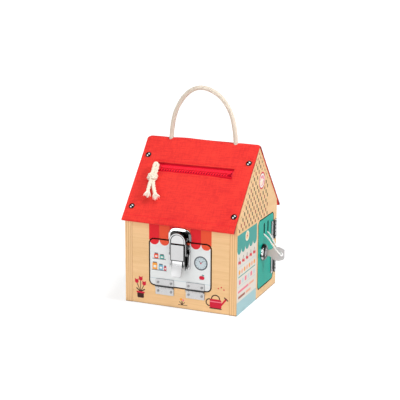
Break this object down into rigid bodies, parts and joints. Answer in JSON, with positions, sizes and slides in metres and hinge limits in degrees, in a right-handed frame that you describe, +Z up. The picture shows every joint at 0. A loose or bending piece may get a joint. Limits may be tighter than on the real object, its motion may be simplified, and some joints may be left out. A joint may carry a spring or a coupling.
{
  "type": "latch house",
  "caption": "Wooden toy house with a zipped canvas roof and rope handle; its doors open by a draw latch, a cam lock with key, a barrel bolt, and a hook and eye.",
  "frame": {"origin": "middle of the flat underside", "axes": "+Z up, the front with the fold-down door faces -Y, the door with the key faces +X"},
  "size_m": [0.1944, 0.1809, 0.2773],
  "materials": {
    "chrome": "bright plated",
    "cotton_cord": "twisted cotton",
    "cotton_rope": "twisted cotton",
    "hinge_steel": "satin nickel plated",
    "key_steel": "nickel plated",
    "pale_print": "printed ply, satin",
    "plywood": "bare birch ply, satin",
    "printed_plywood": "birch ply with printed colour, satin",
    "red_canvas": "plain weave canvas",
    "screw_steel": "zinc plated",
    "teal_paint": "painted ply, satin",
    "white_string": "braided",
    "zip_plastic": "moulded coil",
    "zip_tape": "woven tape"
  },
  "bodies": {
    "house": {"left_wall": "printed_plywood", "right_wall": "printed_plywood", "front_wall": "printed_plywood", "rear_wall": "printed_plywood", "floor_panel": "plywood", "ridge_beam": "plywood", "roof_canvas": "red_canvas", "roof_tacks": "chrome", "rope_handle": "cotton_rope", "rope_knots": "cotton_rope", "zip_tapes": "zip_tape", "zip_teeth": "zip_plastic", "zip_stops": "chrome", "front_hinge_wall_leaves": "hinge_steel", "side_hinge_wall_leaves": "hinge_steel", "left_hinge_wall_leaves": "hinge_steel", "rear_hinge_wall_leaves": "hinge_steel", "front_hinge_pins": "screw_steel", "side_hinge_pins": "screw_steel", "left_hinge_pins": "screw_steel", "rear_hinge_pins": "screw_steel", "hinge_wall_screws": "screw_steel", "latch_keeper": "chrome", "latch_keeper_screws": "screw_steel", "bolt_keeper": "hinge_steel", "bolt_keeper_screws": "screw_steel", "hook_eye": "hinge_steel"},
    "front_door": {"front_door": "pale_print", "front_hinge_door_leaves": "hinge_steel", "front_hinge_door_screws": "screw_steel", "latch_base": "chrome", "latch_base_screws": "screw_steel", "latch_lever_pin": "chrome"},
    "latch_lever": {"latch_lever": "chrome", "latch_bail_pins": "chrome"},
    "latch_bail": {"latch_bail": "chrome"},
    "side_door": {"side_door": "teal_paint", "side_hinge_door_leaves": "hinge_steel", "side_hinge_door_screws": "screw_steel", "lock_housing": "chrome", "lock_nut": "hinge_steel", "key_string": "white_string"},
    "lock_plug": {"lock_plug": "chrome", "lock_cam": "hinge_steel", "cam_screw": "screw_steel", "key": "key_steel"},
    "rear_door": {"rear_door": "pale_print", "rear_hinge_door_leaves": "hinge_steel", "rear_hinge_door_screws": "screw_steel", "bolt_plate": "hinge_steel", "bolt_plate_screws": "screw_steel"},
    "bolt": {"bolt_rod": "hinge_steel"},
    "left_door": {"left_door": "teal_paint", "left_hinge_door_leaves": "hinge_steel", "left_hinge_door_screws": "screw_steel", "hook_screw": "screw_steel"},
    "hook": {"hook": "hinge_steel"},
    "zip_slider": {"zip_slider": "chrome", "zip_pull_cord": "cotton_cord", "zip_pull_knot": "cotton_cord"}
  },
  "joints": [
    {"name": "front_door_hinge", "type": "hinge", "parent": "house", "child": "front_door", "pos_m": [0, -0.0769, 0.026], "axis": [1, 0, 0], "range_deg": [0, 100]},
    {"name": "latch_lever_pivot", "type": "hinge", "parent": "front_door", "child": "latch_lever", "pos_m": [0, -0.0802, 0.0825], "axis": [-1, 0, 0], "range_deg": [0, 90]},
    {"name": "latch_bail_pivot", "type": "hinge", "parent": "latch_lever", "child": "latch_bail", "pos_m": [0, -0.08, 0.0735], "axis": [-1, 0, 0], "range_deg": [-112.5, 0]},
    {"name": "side_door_hinge", "type": "hinge", "parent": "house", "child": "side_door", "pos_m": [0.0794, 0.063, 0.056], "axis": [0, 0, 1], "range_deg": [0, 130]},
    {"name": "key_turn", "type": "hinge", "parent": "side_door", "child": "lock_plug", "pos_m": [0.0775, 0.0205, 0.0585], "axis": [-1, 0, 0], "range_deg": [0, 90], "deforming": ["key_string"]},
    {"name": "rear_door_hinge", "type": "hinge", "parent": "house", "child": "rear_door", "pos_m": [-0.033, 0.0769, 0.053], "axis": [0, 0, 1], "range_deg": [0, 110]},
    {"name": "bolt_slide", "type": "slide", "parent": "rear_door", "child": "bolt", "axis": [1, 0, 0], "range_m": [0, 0.012]},
    {"name": "left_door_hinge", "type": "hinge", "parent": "house", "child": "left_door", "pos_m": [-0.0794, 0.063, 0.056], "axis": [0, 0, -1], "range_deg": [0, 130]},
    {"name": "hook_swing", "type": "hinge", "parent": "left_door", "child": "hook", "pos_m": [-0.0825, 0.014, 0.078], "axis": [1, 0, 0], "range_deg": [0, 270]},
    {"name": "zip_slide", "type": "slide", "parent": "house", "child": "zip_slider", "axis": [1, 0, 0], "range_m": [0, 0.1002]}
  ],
  "couplings": [
    {"joint": "latch_bail_pivot", "follows": "latch_lever_pivot", "ratio": -1.25}
  ]
}
